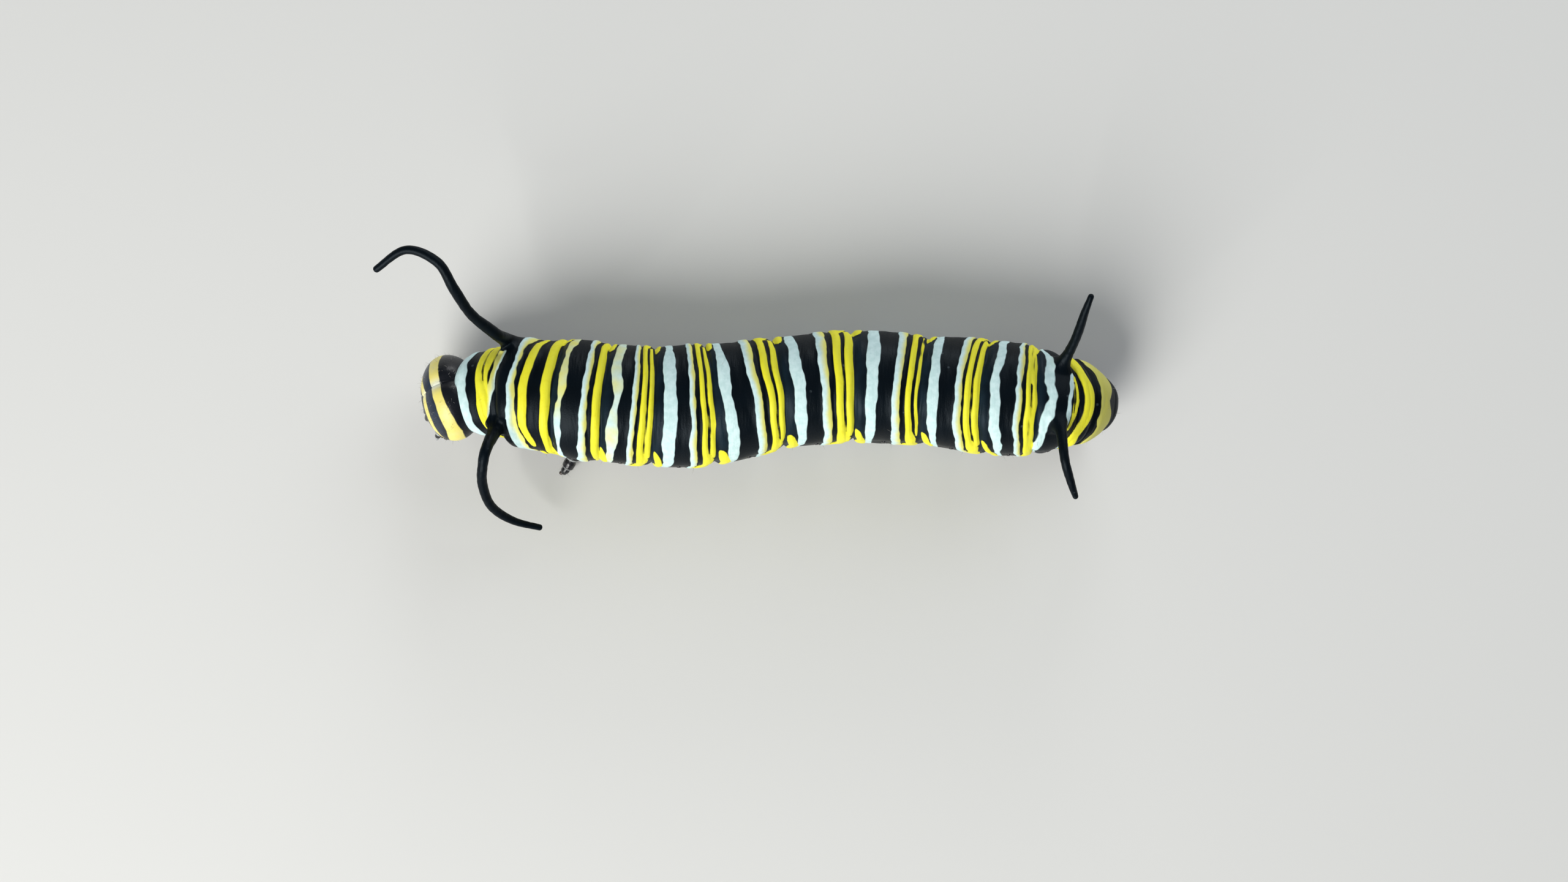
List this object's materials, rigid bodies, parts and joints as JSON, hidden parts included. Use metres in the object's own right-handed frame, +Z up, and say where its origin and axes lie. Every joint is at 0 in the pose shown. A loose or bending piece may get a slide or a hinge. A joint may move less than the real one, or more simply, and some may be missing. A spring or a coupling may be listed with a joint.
{
  "type": "monarch larva",
  "caption": "Still life-size model of a banded monarch larva standing on its legs and prolegs, with fleshy front and rear tentacles.",
  "frame": {"origin": "middle of the whole larva's bounding box, on the floor under it", "axes": "-X toward the head, +X toward the tail, +Y to the larva's right, +Z up from the floor"},
  "size_m": [0.0312, 0.0112, 0.009],
  "materials": {
    "head_capsule": "smooth glossy black capsule with yellow stripes",
    "banded_skin": "soft matte skin, banded black, white and yellow",
    "leg_shell": "glossy black jointed shell",
    "tentacle_skin": "matte blue-black wrinkled skin"
  },
  "bodies": {
    "root": {"head": "head_capsule", "mandible_left": "head_capsule", "mandible_right": "head_capsule", "antenna_left": "head_capsule", "antenna_right": "head_capsule", "thorax_1": "banded_skin", "thorax_2": "banded_skin", "thorax_3": "banded_skin", "abdomen_1": "banded_skin", "abdomen_2": "banded_skin", "abdomen_3": "banded_skin", "abdomen_4": "banded_skin", "abdomen_5": "banded_skin", "abdomen_6": "banded_skin", "abdomen_7": "banded_skin", "abdomen_8": "banded_skin", "abdomen_9": "banded_skin", "abdomen_10": "banded_skin", "anal_plate": "banded_skin", "proleg_3_left": "banded_skin", "proleg_3_right": "banded_skin", "proleg_4_left": "banded_skin", "proleg_4_right": "banded_skin", "proleg_5_left": "banded_skin", "proleg_5_right": "banded_skin", "proleg_6_left": "banded_skin", "proleg_6_right": "banded_skin", "anal_proleg_left": "banded_skin", "anal_proleg_right": "banded_skin", "leg_1_left": "leg_shell", "leg_1_right": "leg_shell", "leg_2_left": "leg_shell", "leg_2_right": "leg_shell", "leg_3_left": "leg_shell", "leg_3_right": "leg_shell", "tentacle_front_left_base": "tentacle_skin", "tentacle_front_left_middle": "tentacle_skin", "tentacle_front_left_tip": "tentacle_skin", "tentacle_front_right_base": "tentacle_skin", "tentacle_front_right_middle": "tentacle_skin", "tentacle_front_right_tip": "tentacle_skin", "tentacle_rear_left_base": "tentacle_skin", "tentacle_rear_left_tip": "tentacle_skin", "tentacle_rear_right_base": "tentacle_skin", "tentacle_rear_right_tip": "tentacle_skin"}
  },
  "joints": []
}
